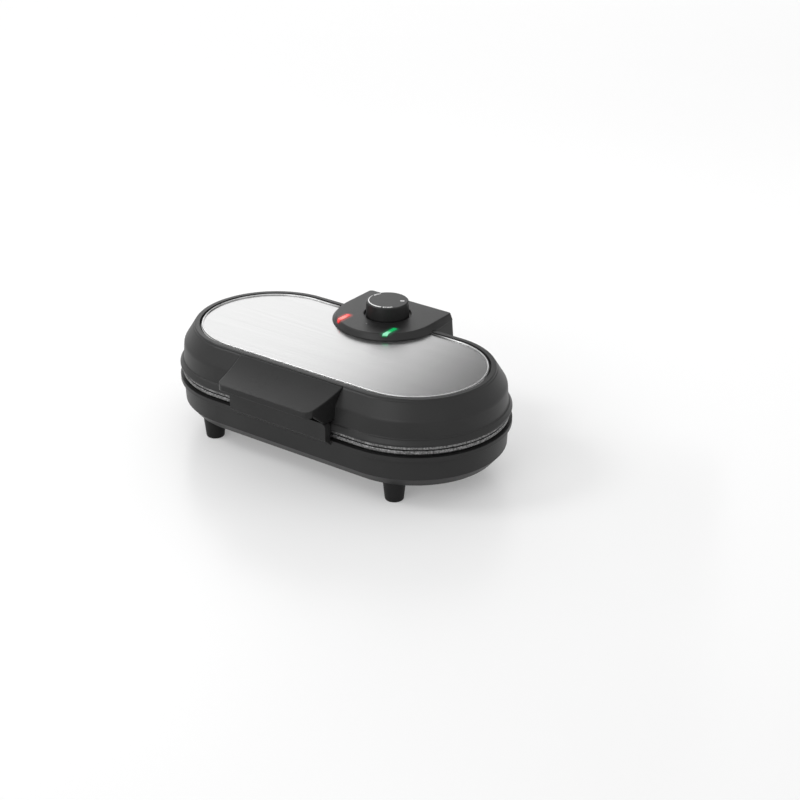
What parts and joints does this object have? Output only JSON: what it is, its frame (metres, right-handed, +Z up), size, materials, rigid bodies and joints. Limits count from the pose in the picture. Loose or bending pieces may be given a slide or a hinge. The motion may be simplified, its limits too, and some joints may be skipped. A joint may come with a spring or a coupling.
{
  "type": "pancake maker",
  "caption": "Oval countertop pancake maker with round baking cups, a hinged lid with a brushed steel panel, a scoop handle in front and a temperature knob at the rear.",
  "frame": {"origin": "middle of the footprint, on the surface that the feet stand on", "axes": "+X along the machine to the right of someone who faces the handle, -Y towards that person, +Z up"},
  "size_m": [0.3638, 0.2364, 0.128],
  "materials": {
    "base_plastic": "fine grained black moulding",
    "lid_plastic": "fine grained black moulding",
    "handle_plastic": "satin black moulding",
    "housing_plastic": "satin black moulding",
    "knob_plastic": "satin black moulding",
    "brushed_panel": "brushed along the machine's width",
    "nonstick": "cast aluminium with a dark non-stick coating",
    "heater_sheath": "annealed steel sheath",
    "shield_sheet": "bright aluminised sheet",
    "zinc_screws": "zinc plated",
    "steel_pin": "ground steel rod",
    "foot_plastic": "black, matt",
    "red_lens": "tinted clear red",
    "green_lens": "tinted clear green",
    "lamp_glass": "small glass indicator lamp",
    "switch_ceramic": "pale ceramic body",
    "bracket_sheet": "bent sheet",
    "bush_rubber": "black",
    "terminal_plastic": "cream moulding"
  },
  "bodies": {
    "base": {"base_shell": "base_plastic", "foot_front_left": "foot_plastic", "foot_front_right": "foot_plastic", "foot_rear_left": "foot_plastic", "foot_rear_right": "foot_plastic", "foot_screws": "zinc_screws", "lower_cooking_plate": "nonstick", "lower_heating_element": "heater_sheath", "lower_heat_shield": "shield_sheet", "lower_plate_screws": "zinc_screws", "hinge_pin": "steel_pin", "cord_inlet_bush": "bush_rubber", "terminal_block": "terminal_plastic"},
    "lid": {"lid_shell": "lid_plastic", "steel_panel": "brushed_panel", "handle": "handle_plastic", "handle_screws": "zinc_screws", "control_housing": "housing_plastic", "housing_screws": "zinc_screws", "tail_screws": "zinc_screws", "red_lens": "red_lens", "green_lens": "green_lens", "red_lamp": "lamp_glass", "green_lamp": "lamp_glass", "upper_cooking_plate": "nonstick", "upper_heating_element": "heater_sheath", "upper_heat_shield": "shield_sheet", "upper_plate_screws": "zinc_screws", "thermostat": "switch_ceramic", "thermostat_bracket": "bracket_sheet", "thermal_fuse": "switch_ceramic"},
    "knob": {"knob": "knob_plastic", "thermostat_spindle": "steel_pin"}
  },
  "joints": [
    {"name": "lid_hinge", "type": "hinge", "parent": "base", "child": "lid", "pos_m": [0, 0.10765, 0.0627], "axis": [-1, 0, 0], "range_deg": [0, 95]},
    {"name": "knob_turn", "type": "hinge", "parent": "lid", "child": "knob", "pos_m": [0, 0.07855, 0.1137], "axis": [0, 0, 1], "range_deg": [-25, 241]}
  ]
}
